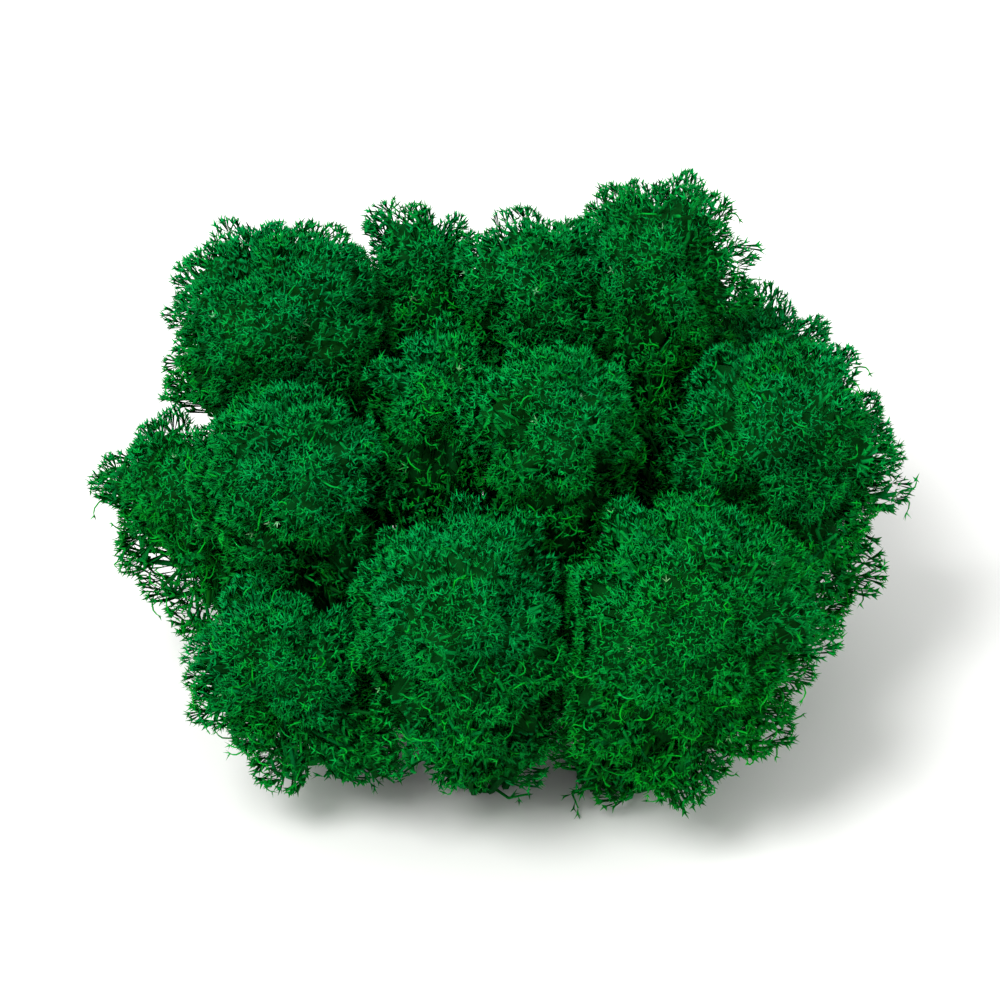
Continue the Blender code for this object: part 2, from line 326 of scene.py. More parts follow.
TWIG = model_stem("twig", TWIG_SIDES, TWIG_RINGS)
CURL = model_stem("curl", TWIG_SIDES, CURL_RINGS)
STEM = model_stem("stem", STEM_SIDES, STEM_RINGS)
print("triangles in a twig, a curl and a stem:", len(TWIG[1]), len(CURL[1]), len(STEM[1]))

# %% [markdown]
# Under the tips a crown is so full of older twigs that no light comes through. Those are
# drawn as one rough heart in the middle of each tuft, coloured dark as painted shade. It
# starts as an icosphere, its points are moved at random in edit mode, and a displacement with
# a cloud texture roughens it. Later each copy is fitted under the skin of its tuft and drawn
# down to the foot.

# %% Model the heart of a crown
HEART_DIVISIONS = 4
HEART_JITTER = 0.08
HEART_SEED = 5
HEART_LUMP = 0.35
HEART_LUMP_SIZE = 0.3


def model_heart():
    """A rough ball, one unit in radius."""
    bpy.ops.object.select_all(action="DESELECT")
    bpy.ops.mesh.primitive_ico_sphere_add(subdivisions=HEART_DIVISIONS, radius=1.0)
    heart = bpy.context.object
    bpy.ops.object.mode_set(mode="EDIT")
    bpy.ops.mesh.select_all(action="SELECT")
    bpy.ops.transform.vertex_random(offset=HEART_JITTER, seed=HEART_SEED)
    bpy.ops.object.mode_set(mode="OBJECT")
    clouds = bpy.data.textures.new("heart_clouds", "CLOUDS")
    clouds.noise_scale = HEART_LUMP_SIZE
    lumps = heart.modifiers.new("lumps", "DISPLACE")
    lumps.texture = clouds
    lumps.strength = HEART_LUMP
    bpy.ops.object.modifier_apply(modifier="lumps")
    bpy.data.textures.remove(clouds)
    bpy.ops.object.mode_set(mode="EDIT")
    return lift_shape(heart)


HEART = model_heart()
print("triangles in a heart:", len(HEART[1]))

# %% [markdown]
# A copy of a shape is only its points moved to a new place, so thousands of copies are one
# sum in numpy, where an operator would take minutes. A twig, a curl or a stem is bent along
# a path of points and given its widths.

# %% Bend copies along paths
NEARLY_UPRIGHT = 0.9


def square_to(axes):
    """Two unit vectors square to each axis and to each other."""
    upright = np.abs(axes[:, 2:]) > NEARLY_UPRIGHT
    helper = np.where(upright, (1.0, 0.0, 0.0), (0.0, 0.0, 1.0))
    first = unit(np.cross(axes, helper))
    return first, np.cross(axes, first)


def turned_sides(points, axes, spins):
    """The sideways part of a shape's points, turned by a spin round each axis."""
    first, second = square_to(axes)
    cos, sin = np.cos(spins)[:, None], np.sin(spins)[:, None]
    x, y = points[:, 0], points[:, 1]
    across = (x * cos - y * sin)[:, :, None] * first[:, None]
    return across + (x * sin + y * cos)[:, :, None] * second[:, None]


def lay_along(shape, paths, widths, rng):
    """Copies of a stem, each bent along its path; widths has one number for each point."""
    points, triangles = shape
    steps = paths.shape[1] - 1
    before = np.minimum((points[:, 2] * steps).astype(int), steps - 1)
    share = (points[:, 2] * steps - before)[None, :, None]
    centres = paths[:, before] * (1.0 - share) + paths[:, before + 1] * share
    width = np.interp(points[:, 2], np.linspace(0.0, 1.0, len(widths)), widths)
    axes = unit(paths[:, -1] - paths[:, 0])
    spins = rng.uniform(0.0, math.tau, len(paths))
    return centres + turned_sides(points, axes, spins) * width[None, :, None], triangles


trial_path = np.array([[(0.0, 0.0, 0.0), (1.0, 0.0, 1.0), (0.0, 0.0, 2.0)]])
trial_copy, _ = lay_along(TWIG, trial_path, (0.1, 0.1), np.random.default_rng(1))
print("a bent twig's box:", np.round(trial_copy[0].min(0), 2), np.round(trial_copy[0].max(0), 2))

# %% [markdown]
# A whorl keeps its size, while the foot of its stem is drawn down to the twig it grows from.
# Each copy is spun round its axis by chance, and every tip strays a little from its place.

# %% Open the whorls
TIP_WANDER = 0.10 * MM


def place_whorls(shape, roots, forks, axes, sizes, rng):
    """Copies of the whorl that open round their axes, each rooted on its twig."""
    points, triangles = shape
    share = np.minimum(points[:, 2] / STEM_TOP, 1.0)[None, :, None]
    above = np.maximum(points[:, 2] - STEM_TOP, 0.0)[None, :, None]
    size = sizes[:, None, None]
    centres = roots[:, None] * (1.0 - share) + forks[:, None] * share
    spins = rng.uniform(0.0, math.tau, len(roots))
    copies = centres + (turned_sides(points, axes, spins) + axes[:, None] * above) * size
    tips = points[:, 2] > STEM_TOP + TIP_UP / 2.0
    copies[:, tips] += rng.normal(0.0, TIP_WANDER, (len(roots), tips.sum(), 3)) * size
    return copies, triangles


print("a tip wanders by about, mm:", TIP_WANDER / MM)

# %% [markdown]
# A tuft is laid out from the outside in. Its plain outline is half a ball on top, which is
# the crown, and half an egg below, drawn down to the foot. A point of the outline is named
# by its ray, a unit vector from the middle of the crown. The top of a real crown is closed,
# and its sides are looser the further down they are, with twigs that turn upwards.

# %% Draw the outline of a tuft
EGG_REACH = 0.97
LOOSE_FROM = 0.30     # crown radii above the crown's middle
LOOSE_OVER = 1.9
LOOSE_RISE = 1.0


def loose_at(height):
    """0 on the closed top of the crown, growing to 1 down the sides; height in crown radii."""
    return np.clip((LOOSE_FROM - height) / LOOSE_OVER, 0.0, 1.0)


class Outline:
    """The plain outline of one tuft."""

    def __init__(self, node):
        self.node = node
        self.centre, self.radius, self.foot = PLACES[node]
        self.neighbours = neighbours_of(node)
        self.height = np.linalg.norm(self.foot - self.centre)
        self.down = (self.foot - self.centre) / self.height

    def egg(self, fall):
        """Distance to the outline in crown radii; fall is how straight down a ray goes."""
        stretch = EGG_REACH * self.height / self.radius
        return 1.0 / np.sqrt(1.0 - fall ** 2 + (fall / stretch) ** 2)

    def plain(self, rays):
        """Points of the outline, from the middle of the crown."""
        fall = np.maximum(rays @ self.down, 0.0)
        return rays * (self.radius * self.egg(fall))[:, None]

    def looseness(self, rays):
        """How loose the tuft is at each ray."""
        return loose_at(self.plain(rays)[:, 2] / self.radius)

    def outwards(self, rays):
        """The way that the outline faces at each ray."""
        fall = np.maximum(rays @ self.down, 0.0)[:, None] * self.down
        return unit(rays - fall * (1.0 - (self.radius / self.height) ** 2))

    def growing_way(self, rays):
        """The way that twigs grow: outwards on top, and more upwards down the sides."""
        return unit(self.outwards(rays) + self.looseness(rays)[:, None] * (0.0, 0.0, LOOSE_RISE))


widest_outline = Outline("head_10_front_right")
print("height of the widest tuft, mm:", round((widest_outline.height + widest_outline.radius) / MM, 1))

# %% [markdown]
# Points are spread over the outline along a spiral that turns by the golden angle at each
# step, because that spreads them evenly over any round form: it only has to be told how much
# area lies at each height. Where the tuft is loose they stand wider apart.

# %% Spread points over the outline
GOLDEN_ANGLE = math.pi * (3.0 - math.sqrt(5.0))
HEIGHT_STEPS = 400
FEWEST_POINTS = 8
LOOSE_DENSITY = 0.42
OUT_OF_TRUE = 0.28     # of the spacing


def spread(outline, spacing, rng):
    """Rays spread over an outline at a spacing."""
    polar = np.linspace(0.0, math.pi, HEIGHT_STEPS)
    reach = outline.egg(np.maximum(-np.cos(polar), 0.0))
    slant = np.hypot(reach, np.gradient(reach, polar))
    dense = 1.0 - (1.0 - LOOSE_DENSITY) * loose_at(reach * np.cos(polar))
    rings = reach * np.sin(polar) * slant * dense
    area = np.cumsum(rings) * polar[1] * math.tau * outline.radius ** 2
    step = np.arange(max(FEWEST_POINTS, round(area[-1] / spacing ** 2))) + 0.5
    polar = np.interp(step / len(step) * area[-1], area, polar)
    turn = rng.uniform(0.0, math.tau) + step * GOLDEN_ANGLE
    first, second = square_to(outline.down[None])
    beside = np.cos(turn)[:, None] * first + np.sin(turn)[:, None] * second
    rays = beside * np.sin(polar)[:, None] - outline.down * np.cos(polar)[:, None]
    return unit(rays + rng.normal(0.0, OUT_OF_TRUE * spacing / outline.radius, rays.shape))


trial_rays = spread(widest_outline, 2.0 * MM, np.random.default_rng(1))
print("points 2 mm apart on the widest tuft:", len(trial_rays))

# %% [markdown]
# Three sets of points make the branching: the whorls of tips, the forks under them and the
# boughs under those. Each whorl joins its nearest fork and each fork its nearest bough, so
# a fork carries about seven branches. On the real lichen it has three or four, in more and
# smaller steps than can be seen here. The twigs round one bough make a small bulge. Here and
# there a bough is sunk and leaves a hollow, more often down the sides. Together they give
# the crown its quilted surface.

# %% Give a tuft its bulges and hollows
WHORL_SPACING = 0.887 * MM
FORK_SPACING = 2.3 * MM
BOUGH_SPACING = 6.4 * MM
FORK_STEP = 0.30 * MM
BULGE_HIGH = 0.3
BULGE_SAG = 2.4 * MM
BULGE_STEP = 1.0 * MM
BULGE_BLEND = 2.0 * MM
PIT_DEPTH = 4.2 * MM
PIT_HEIGHTS = (-0.2, 0.9)     # crown radii above the crown's middle
PIT_SHARES = (0.34, 0.05)     # of the boughs at those heights
SWELL = 0.07
SWELLS = 5
SWELLS_PER_RADIUS = 2.0
GROUND_ROOM = 1.5 * MM


def nearest(points, targets):
    """The number of the target nearest to each point."""
    return ((targets ** 2).sum(1) - 2.0 * points @ targets.T).argmin(1)


class Form(Outline):
    """One tuft with its swells, bulges and hollows, and the points that it grows to."""

    def __init__(self, node, rng):
        super().__init__(node)
        self.waves = rng.normal(0.0, SWELLS_PER_RADIUS, (SWELLS, 3))
        self.phases = rng.uniform(0.0, math.tau, SWELLS)
        self.boughs = spread(self, BOUGH_SPACING, rng)
        self.forks = spread(self, FORK_SPACING, rng)
        self.whorls = spread(self, WHORL_SPACING, rng)
        self.bulge = rng.normal(0.0, BULGE_STEP, len(self.boughs))
        pits = np.interp(self.plain(self.boughs)[:, 2] / self.radius, PIT_HEIGHTS, PIT_SHARES)
        self.bulge -= PIT_DEPTH * (rng.random(len(self.boughs)) < pits)
        self.fork_bough = nearest(self.plain(self.forks), self.plain(self.boughs))
        self.whorl_fork = nearest(self.plain(self.whorls), self.plain(self.forks))
        self.whorl_step = rng.normal(0.0, FORK_STEP, len(self.forks))[self.whorl_fork]

    def bulges(self, plain):
        """How far the bulges stand out of the plain outline at its points, and how far each
        point is from the middle of its bulge, from 0 there to about 1 in the crease."""
        boughs = self.plain(self.boughs)
        far = (plain ** 2).sum(1)[:, None] + (boughs ** 2).sum(1) - 2.0 * plain @ boughs.T
        closest = far.min(1)
        share = np.exp((closest[:, None] - far) / (2.0 * BULGE_BLEND ** 2))
        crease = closest / (BOUGH_SPACING / 2.0) ** 2
        return share @ self.bulge / share.sum(1) + BULGE_SAG * (BULGE_HIGH - crease), crease

    def full(self, rays):
        """How far out the tuft would grow along each ray with no neighbours."""
        swell = np.sin(rays @ self.waves.T + self.phases).sum(1) / (SWELLS / 2.0)
        plain = self.plain(rays)
        bulges, _ = self.bulges(plain)
        grown = np.linalg.norm(plain, axis=1) * (1.0 + SWELL * swell) + bulges
        room = self.centre[2] - self.foot[2] - GROUND_ROOM
        return np.minimum(grown, room / np.maximum(-rays[:, 2], 1e-6))

    def surface(self, rays, gap):
        """How far out the tuft grows along each ray, and whether a neighbour stops it."""
        full = self.full(rays)
        free = room_along(self.centre, rays, self.neighbours, gap)
        return np.minimum(full, free), free < full


trial = Form("head_10_front_right", np.random.default_rng(1))
print("boughs, forks, whorls in one tuft:", len(trial.boughs), len(trial.forks), len(trial.whorls))

# %% [markdown]
# The whorls stand just inside the skin of the tuft, the forks a little deeper and the boughs
# deeper still. The forks and the boughs are stepped back against the way they grow, so that
# the twigs lean the same way. The boughs rise from the tuft's middle line.

# %% Place the boughs, the forks and the whorls
WHORL_ROOM = 0.65 * MM
FORK_DEPTH = 2.1 * MM
LOOSE_DEPTH = 0.9
BOUGH_DEPTH = 0.36     # crown radii
BOUGH_RISE = 0.8
LOWEST_ROOT = 0.95
# How far the boughs, the forks and the whorls stay from a neighbour's wall.
WALL_ROOMS = (2.0 * MM, 1.0 * MM, 0.4 * MM)


def branch_points(form):
    """Points of the boughs, the forks and the whorls."""
    bough_room, fork_room, whorl_room = WALL_ROOMS
    reach, _ = form.surface(form.boughs, bough_room)
    back = form.growing_way(form.boughs) * (BOUGH_DEPTH * form.radius)
    boughs = form.centre + form.boughs * reach[:, None] - back
    reach, _ = form.surface(form.forks, fork_room)
    depth = FORK_DEPTH * (1.0 + LOOSE_DEPTH * form.looseness(form.forks))
    back = form.growing_way(form.forks) * depth[:, None]
    forks = form.centre + form.forks * reach[:, None] - back
    reach, pressed = form.surface(form.whorls, whorl_room)
    step = np.where(pressed, np.minimum(form.whorl_step, 0.0), form.whorl_step)
    whorls = form.centre + form.whorls * (reach + step - WHORL_ROOM)[:, None]
    return boughs, forks, whorls


def bough_roots(form, ends):
    """Points on the middle line of the tuft, which the boughs rise from."""
    along = (ends - form.centre) @ form.down
    beside = np.linalg.norm(ends - form.centre - along[:, None] * form.down, axis=1)
    root = np.clip(along + BOUGH_RISE * beside, 0.0, LOWEST_ROOT * form.height)
    return form.centre + root[:, None] * form.down


trial_boughs, trial_forks, trial_whorls = branch_points(trial)
print("highest bough, fork and whorl, mm:",
      [round(points[:, 2].max() / MM, 1) for points in (trial_boughs, trial_forks, trial_whorls)])

# %% [markdown]
# Where one tuft leans on the next no light comes in, and the lichen grows no tips there. So
# each whorl looks up in many directions spread over the sky, and counts those that no other
# tuft covers. The whorls that see no sky at all are left out, and so is half of those that
# see very little, which keeps the tips for the places that can be seen.

# %% Find what sees the sky
SKY_WAYS = 48
SKY_BALLS = 4
SKY_BALL_SIZE = 0.88
FACING = 0.05     # a direction counts only if it is this much in front of a point


def sky_ways():
    """Directions spread evenly over the sky."""
    height = (np.arange(SKY_WAYS) + 0.5) / SKY_WAYS
    turn = np.arange(SKY_WAYS) * GOLDEN_ANGLE
    level = np.sqrt(1.0 - height ** 2)
    return np.stack((level * np.cos(turn), level * np.sin(turn), height), 1)


def sky_seen(points, facing, nodes):
    """The share of the sky's directions in front of each point that the tufts leave open."""
    balls = [tuft_balls(node) for node in nodes]
    middles = np.concatenate([middles[::-2][:SKY_BALLS] for middles, _ in balls])
    radii = np.concatenate([radii[::-2][:SKY_BALLS] for _, radii in balls]) * SKY_BALL_SIZE
    to_balls = middles[None] - points[:, None]
    far = (to_balls ** 2).sum(2)
    seen = np.zeros(len(points))
    for way in sky_ways():
        ahead = to_balls @ way
        covered = (ahead > 0.0) & (far - ahead ** 2 < radii ** 2)
        seen += (facing @ way > FACING) & ~covered.any(1)
    return seen / SKY_WAYS


def others(node):
    """The other tufts."""
    return [other for other in PLACES if other != node]


trial_sky = sky_seen(trial_whorls, trial.outwards(trial.whorls), others(trial.node))
print("share of one tuft's whorls that see the sky:", round(float((trial_sky > 0.0).mean()), 2))

# %% [markdown]
# Inside a tuft a bundle of old stems rises from the foot, bows outwards and goes into the
# crown. Only their paths are laid out here; the stem shape is bent along them later.

# %% Lay out the stems
STEMS_PER_MM = 2.0     # of the crown's radius
FEWEST_STEMS = 8
STEM_WIDTHS = np.array((0.52, 0.46, 0.44, 0.40, 0.36, 0.32, 0.26)) * MM
STEM_BOW = ((0.0, 0.26), (0.30, 0.52), (0.60, 0.64), (1.0, 0.40))     # (climb, crown radii)
STEM_TURN = 0.5
STEM_REACH = (0.25, 1.0)
STEM_WANDER = 0.8 * MM
LEVEL_WANDER = (1.0, 1.0, 0.4)     # less of it goes up and down


def stem_paths(form, rng):
    """Paths of the stems, from the foot into the crown."""
    count = max(FEWEST_STEMS, round(form.radius / MM * STEMS_PER_MM))
    climb = np.linspace(0.0, 1.0, STEM_RINGS + 1)
    bow = np.interp(climb, *zip(*STEM_BOW))
    angle = rng.uniform(0.0, math.tau) + np.arange(count) * math.tau / count
    angle = angle[:, None] + rng.normal(0.0, STEM_TURN, (count, 1)) * climb
    reach = bow * rng.uniform(*STEM_REACH, (count, 1)) * form.radius
    axis = form.foot + (form.centre - form.foot) * climb[:, None]
    out = np.stack((np.cos(angle), np.sin(angle), np.zeros_like(angle)), 2)
    room = [room_along(point, out[:, step], form.neighbours, WALL_GAP + STEM_WIDTHS[0])
            for step, point in enumerate(axis)]
    paths = axis + out * np.minimum(reach, np.stack(room, 1))[:, :, None]
    wander = rng.normal(0.0, STEM_WANDER, paths.shape)
    wander[:, (0, -1)] = 0.0
    return paths + wander * LEVEL_WANDER


trial_stems = stem_paths(trial, np.random.default_rng(1))
print("stems in the widest tuft:", len(trial_stems))

# %% [markdown]
# The stems carry loose side strands that still end in a few tips. They are what a viewer
# sees under the rims of the crowns, from the side.

# %% Lay out the side strands
STRANDS_PER_MM = 6.0
STRAND_CLIMB = (0.05, 0.80)
STRAND_LENGTH = (3.0 * MM, 6.0 * MM)
STRAND_WAY = 0.5
STRAND_RISE = 0.6
STRAND_KNEE = 0.14


def side_strands(form, paths, rng):
    """Roots, knees and ends of loose strands on the sides of the stems."""
    count = round(form.radius / MM * STRANDS_PER_MM)
    stem = rng.integers(0, len(paths), count)
    climb = rng.uniform(*STRAND_CLIMB, count) * STEM_RINGS
    before = climb.astype(int)
    share = (climb - before)[:, None]
    roots = paths[stem, before] * (1.0 - share) + paths[stem, before + 1] * share
    along = (roots - form.centre) @ form.down
    out = unit((roots - form.centre - along[:, None] * form.down) * (1.0, 1.0, 0.0))
    way = unit(out + rng.normal(0.0, STRAND_WAY, out.shape) + (0.0, 0.0, STRAND_RISE))
    length = rng.uniform(*STRAND_LENGTH, count)[:, None]
    knees = roots + way * length * 0.5 + rng.normal(0.0, STRAND_KNEE, roots.shape) * length
    return roots, knees, roots + way * length, out


trial_roots, _, trial_ends, _ = side_strands(trial, trial_stems, np.random.default_rng(1))
print("side strands:", len(trial_roots),
      "mean length, mm:", round(np.linalg.norm(trial_ends - trial_roots, axis=1).mean() / MM, 1))

# %% [markdown]
# On top of the crown's sides lie curly twigs, longer and yellower than the rest. Each rises
# from just under the skin and then curls along it, the same way all along. On the closed top
# there are only a few.

# %% Lay out the curls
CURL_SPACING = 2.3 * MM
CURL_LOOSE = (0.0, 0.4)
CURL_SHARE = (0.07, 0.70)
CURL_STEP = (0.38 * MM, 0.80 * MM)
CURL_TURN = 0.75
CURL_LIFT = (1.2, 0.7, 0.1, -0.2)     # outwards in each step, for 1 along the skin
CURL_ROOT = 1.4 * MM


def curl_paths(form, rng):
    """Paths of curly twigs that lie on the sides of the tuft."""
    rays = spread(form, CURL_SPACING, rng)
    share = np.interp(form.looseness(rays), CURL_LOOSE, CURL_SHARE)
    rays = rays[rng.random(len(rays)) < share]
    reach, pressed = form.surface(rays, WALL_ROOMS[1])
    out = form.outwards(rays)
    first, second = square_to(out)
    angle = rng.uniform(0.0, math.tau, len(rays))
    turn = rng.normal(0.0, CURL_TURN, len(rays))
    step = rng.uniform(*CURL_STEP, len(rays))[:, None]
    path = [form.centre + rays * reach[:, None] - out * CURL_ROOT]
    for number, lift in enumerate(CURL_LIFT):
        bearing = angle + number * turn
        along = np.cos(bearing)[:, None] * first + np.sin(bearing)[:, None] * second
        path.append(path[-1] + (along + lift * out) * step)
    return np.stack(path, 1)[~pressed], out[~pressed]


print("curls on the widest tuft:", len(curl_paths(trial, np.random.default_rng(1))[0]))

# %% [markdown]
# Between the crowns one looks down on old twigs and not on the ground; their dark colour is
# partly old wood and partly painted shade. Many are tried on each tuft, from its middle
# outwards. Those that end in a gap beside the tuft, under open sky, are kept. So is a small
# share of the rest, which fills the tuft behind its tips.

# %% Lay out the old inner twigs
INNER_PER_MM = 36.0     # tried, for each millimetre of the crown's radius
INNER_LEVELS = 12
INNER_CLIMB = (0.12, 0.75)
INNER_LOWEST = 0.3
INNER_SLOPE = 0.25
INNER_TURN = 0.1
INNER_SIGHT = 32.0 * MM
INNER_REACH = (0.85, 1.35)
OUTER_REACH = (0.60, 0.85)
INNER_START = 0.35
INNER_MARGIN = 1.0 * MM
INNER_HIDDEN = 0.12


def inner_twigs(form, rng):
    """Starts and ends of old twigs. They are long towards the neighbours, and elsewhere they
    stay inside the egg."""
    balls, radii = tuft_balls(form.node)
    away = unit(form.centre * (1.0, 1.0, 0.0))
    count = round(form.radius / MM * INNER_PER_MM / INNER_LEVELS)
    starts, ends = [], []
    for climb in np.linspace(*INNER_CLIMB, INNER_LEVELS):
        middle = form.foot + (form.centre - form.foot) * climb
        angle = rng.uniform(0.0, math.tau, count)
        rays = unit(np.stack((np.cos(angle), np.sin(angle), rng.normal(0.0, INNER_SLOPE, count)), 1))
        room = room_along(middle, rays, form.neighbours, WALL_GAP)
        inwards = (room < INNER_SIGHT) & (rays @ away < INNER_TURN) & (climb > INNER_LOWEST)
        long = np.minimum(room, rng.uniform(*INNER_REACH, count) * form.radius)
        half_egg = form.radius * math.sqrt(1.0 - (1.0 - climb) ** 2)
        reach = np.where(inwards, long, half_egg * rng.uniform(*OUTER_REACH, count))[:, None]
        tips = middle + rays * reach
        beyond = (np.linalg.norm(tips[:, None] - balls, axis=2) - radii).min(1)
        up = np.tile((0.0, 0.0, 1.0), (count, 1))
        in_gap = (beyond > -INNER_MARGIN) & (sky_seen(tips, up, PLACES) > 0.0)
        kept = in_gap | (rng.random(count) < INNER_HIDDEN)
        starts.append((middle + rays * reach * INNER_START)[kept])
        ends.append(tips[kept])
    return np.concatenate(starts), np.concatenate(ends)


print("inner twigs in the widest tuft:", len(inner_twigs(trial, np.random.default_rng(1))[0]))

# %% [markdown]
# Now the copies. Two numbers go with every point of a tuft: its growth, from 0 at the foot to
# 1 at the tips, and its tone, from 0 for bluish to 1 for yellowish. They are written as the
# two coordinates of a UV map, so the colours follow the twigs, and the exported model keeps
# them. The map has the name that the exporter looks for. No two corners of a triangle get
# just the same place on it, because a baker skips a triangle that has no area there.

# %% Collect the copies in one mesh
COLOUR_MAP = "OFBake"
MAP_STEP = 0.004


def growth_along(shape, low, high):
    """Growth at each point of a shape, from one value at its foot to another at its top."""
    height = shape[0][:, 2]
    return low + (high - low) * (height - height.min()) / np.ptp(height)


class Growth:
    """Collects copies of shapes, with their growth and tone, into one mesh."""

    def __init__(self):
        self.points = []
        self.triangles = []
        self.growth = []
        self.tone = []
        self.count = 0

    def add(self, copies, triangles, growth, tone):
        """Add copies of one shape; growth is given for each point, tone for each copy."""
        number, size = copies.shape[:2]
        self.points.append(copies.reshape(-1, 3))
        starts = self.count + np.arange(number) * size
        self.triangles.append((triangles[None] + starts[:, None, None]).reshape(-1, 3))
        self.growth.append(np.broadcast_to(growth, (number, size)).ravel())
        stagger = (np.arange(size) % 3 - 1) * MAP_STEP
        self.tone.append((tone[:, None] + stagger).ravel())
        self.count += number * size

    def make(self, name, neighbours, ground):
        """The finished object."""
        points = bend_clear(np.concatenate(self.points), neighbours, ground)
        triangles = np.concatenate(self.triangles)
        mesh = bpy.data.meshes.new(name)
        mesh.vertices.add(len(points))
        mesh.vertices.foreach_set("co", points.astype(np.float32).ravel())
        mesh.loops.add(triangles.size)
        mesh.loops.foreach_set("vertex_index", triangles.astype(np.int32).ravel())
        mesh.polygons.add(len(triangles))
        mesh.polygons.foreach_set("loop_start", np.arange(0, triangles.size, 3, dtype=np.int32))
        mesh.update(calc_edges=True)
        place = np.stack((np.concatenate(self.growth), np.concatenate(self.tone)), 1)
        colour_map = mesh.uv_layers.new(name=COLOUR_MAP)
        corners = np.clip(place, MAP_STEP, 1.0 - MAP_STEP)[triangles.ravel()]
        colour_map.uv.foreach_set("vector", corners.astype(np.float32).ravel())
        mesh.shade_smooth()
        tuft = bpy.data.objects.new(name, mesh)
        bpy.context.scene.collection.objects.link(tuft)
        return tuft


print("growth at the foot and the top of a twig:", growth_along(TWIG, 0.25, 0.45)[[0, -1]])

# %% [markdown]
# The heart is fitted under the skin of its tuft. It lies a little way in on the crown and
# further in down the loose sides, it keeps clear of the hollows, and it is slim at the foot.
# Its dark colour is painted shade, darkest down the loose sides and mottled at random. To
# the eye it is only the shade behind the twigs.

# %% Fit the heart into a tuft
HEART_DEPTH = 2.1 * MM
HEART_PRESSED = 1.6 * MM
HEART_CLEAR = 1.9 * MM
HEART_DRAWN_IN = 0.26     # crown radii
HEART_SLIMMEST = 0.6      # of the distance from the tuft's middle line
HEART_ROUGH = 2.0 * MM
HEART_ROUGH_SHARE = 0.3
HEART_ROUGH_LEAST = 1.0 * MM
# Painted shade: the heart's growth is low on the crown and lower still down the loose sides.
HEART_SHADE_GROWTH = (0.13, 0.05)
HEART_MOTTLE = 0.10
HEART_TONE = (0.3, 0.5)


def add_heart(growth, form, rng):
    """The heart, drawn in where the tuft is loose or a neighbour presses on it."""
    points, triangles = HEART
    rays = unit(points)
    first, second = square_to(rays)
    around = (0.0 * first, first, -first, second, -second)
    reach = [form.surface(unit(rays + HEART_CLEAR / form.radius * tilt), WALL_GAP) for tilt in around]
    skin = rays * np.min([far for far, _ in reach], axis=0)[:, None]
    pressed = np.any([stopped for _, stopped in reach], axis=0)
    fall = np.maximum(skin @ form.down, 0.0)
    beside = np.linalg.norm(skin - (skin @ form.down)[:, None] * form.down, axis=1)
    loose = form.looseness(rays)
    depth = HEART_DEPTH + HEART_DRAWN_IN * form.radius * loose
    depth = np.where(pressed, HEART_PRESSED, depth)
    depth = np.where(fall > 0.0, np.minimum(depth, HEART_SLIMMEST * beside), depth)
    rough = np.minimum(HEART_ROUGH, HEART_ROUGH_SHARE * beside + HEART_ROUGH_LEAST)
    depth += (1.0 - np.linalg.norm(points, axis=1)) * rough
    heart = form.centre + skin - form.outwards(rays) * depth[:, None]
    # The heart's low growth paints it dark as shade, with a random mottle.
    crown_shade, loose_shade = HEART_SHADE_GROWTH
    shade_growth = crown_shade + (loose_shade - crown_shade) * loose + rng.normal(0.0, HEART_MOTTLE, len(points))
    growth.add(heart[None], triangles, shade_growth, np.array([rng.uniform(*HEART_TONE)]))


print("the heart lies under the skin of the crown by, mm:", round(HEART_DEPTH / MM, 1))

# %% [markdown]
# Each tuft has its own tone. On top of it the tone changes in patches a few millimetres wide,
# as wide as the bunch on one bough. The old wood is a little yellower than the tips, and the
# loose twigs down the sides more so, as on the flanks in the photograph.

# %% Tint and add twigs
TONE_PATCH = 3.5 * MM
TONE_PATCHES = 0.36
TONE_WAVES = 6
TONE_SEED = 77
TONE_SPREAD = 0.12
YELLOWER = {"wood": 0.1, "stem": 0.2, "strand": 0.3, "curl": 0.5}
KNEE = 0.10     # of a twig's length


def tone_at(points, base, rng):
    """Tone of twigs at some points: patches, and a little chance."""
    waves = np.random.default_rng(TONE_SEED).normal(0.0, 1.0 / TONE_PATCH, (TONE_WAVES, 3))
    patches = np.sin(points @ waves.T + np.arange(TONE_WAVES)).sum(1) / TONE_WAVES
    return base + TONE_PATCHES * patches + rng.normal(0.0, TONE_SPREAD, len(points))


def add_twigs(growth, starts, ends, widths, ages, tone, rng):
    """Twigs with a knee in the middle, each from a start to an end."""
    length = np.linalg.norm(ends - starts, axis=1)[:, None]
    knees = (starts + ends) / 2.0 + rng.normal(0.0, KNEE, starts.shape) * length
    copies, triangles = lay_along(TWIG, np.stack((starts, knees, ends), 1), widths, rng)
    growth.add(copies, triangles, growth_along(TWIG, *ages), tone_at(ends, tone, rng))


trial_tone = tone_at(trial_whorls, 0.3, np.random.default_rng(1))
print("tone of one tuft's tips, least and most:", np.round((trial_tone.min(), trial_tone.max()), 2))

# %% [markdown]
# A whorl's growth rises from its root to its tips. Where its stalk is long, as on the wall
# of a hollow, the root lies deep in the shade among old twigs, so it starts darker.

# %% Add whorls
WHORL_SIZE = (0.90, 1.30)
WHORL_GROWTH = (0.67, 0.93)
STALK_LENGTH = 1.5 * MM
STALK_FADE = 0.10     # for each millimetre more
STALK_DARKEST = 0.35


def add_whorls(growth, roots, forks, axes, tone, tip_growth, rng):
    """Whorls of tips, some with three and some with four. Long stalks start darker."""
    kind = rng.integers(0, len(WHORLS), len(roots))
    sizes = rng.uniform(*WHORL_SIZE, len(roots))
    youngest = WHORL_GROWTH[0]
    for number, shape in enumerate(WHORLS):
        here = kind == number
        copies, triangles = place_whorls(shape, roots[here], forks[here], axes[here], sizes[here], rng)
        longer = np.linalg.norm(forks[here] - roots[here], axis=1) - STALK_LENGTH
        low = np.clip(youngest - STALK_FADE * longer / MM, STALK_DARKEST, youngest)[:, None]
        rise = growth_along(shape, 0.0, 1.0)
        growth.add(copies, triangles, low + (tip_growth[here, None] - low) * rise, tone[here])


print("growth of a whorl's root and tips:", WHORL_GROWTH)
